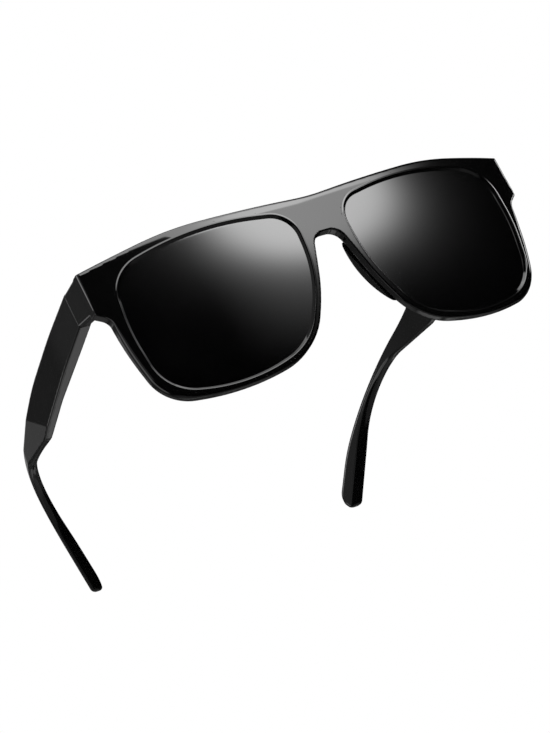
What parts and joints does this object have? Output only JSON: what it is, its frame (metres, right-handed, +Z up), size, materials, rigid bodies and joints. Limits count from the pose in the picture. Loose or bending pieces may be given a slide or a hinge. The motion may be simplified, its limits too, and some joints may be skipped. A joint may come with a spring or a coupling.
{
  "type": "sunglasses",
  "caption": "Square flat-top sunglasses: a curved one-piece front with dark lenses and two broad temples that fold on barrel hinges.",
  "frame": {"origin": "On the resting plane under the lower rims and the temple tips, midway between the sides and midway from the front's face to the temple tips.", "axes": "+Z up, +Y from the front back along the open temples, +X towards the wearer's left. The front faces -Y."},
  "size_m": [0.1456, 0.1464, 0.0513],
  "materials": {
    "frame": "polished black acetate",
    "temple": "polished black acetate",
    "pad": "polished black acetate",
    "lens": "dark smoke, polished",
    "hinge_metal": "satin",
    "core_metal": "drawn wire"
  },
  "bodies": {
    "front": {"front_frame": "frame", "lens_right": "lens", "nose_pad_right": "pad", "hinge_front_leaf_right": "hinge_metal", "hinge_screw_right": "hinge_metal", "front_rivets_right": "hinge_metal", "lens_left": "lens", "nose_pad_left": "pad", "hinge_front_leaf_left": "hinge_metal", "hinge_screw_left": "hinge_metal", "front_rivets_left": "hinge_metal"},
    "right_arm": {"temple_right": "temple", "temple_core_right": "core_metal", "hinge_temple_leaf_right": "hinge_metal", "temple_rivets_right": "hinge_metal"},
    "left_arm": {"temple_left": "temple", "temple_core_left": "core_metal", "hinge_temple_leaf_left": "hinge_metal", "temple_rivets_left": "hinge_metal"}
  },
  "joints": [
    {"name": "left_hinge", "type": "hinge", "parent": "front", "child": "left_arm", "pos_m": [0.067, -0.0478, 0.04385], "axis": [0, 0, 1], "range_deg": [0, 83]},
    {"name": "right_hinge", "type": "hinge", "parent": "front", "child": "right_arm", "pos_m": [-0.067, -0.0478, 0.04385], "axis": [0, 0, -1], "range_deg": [0, 74]}
  ]
}
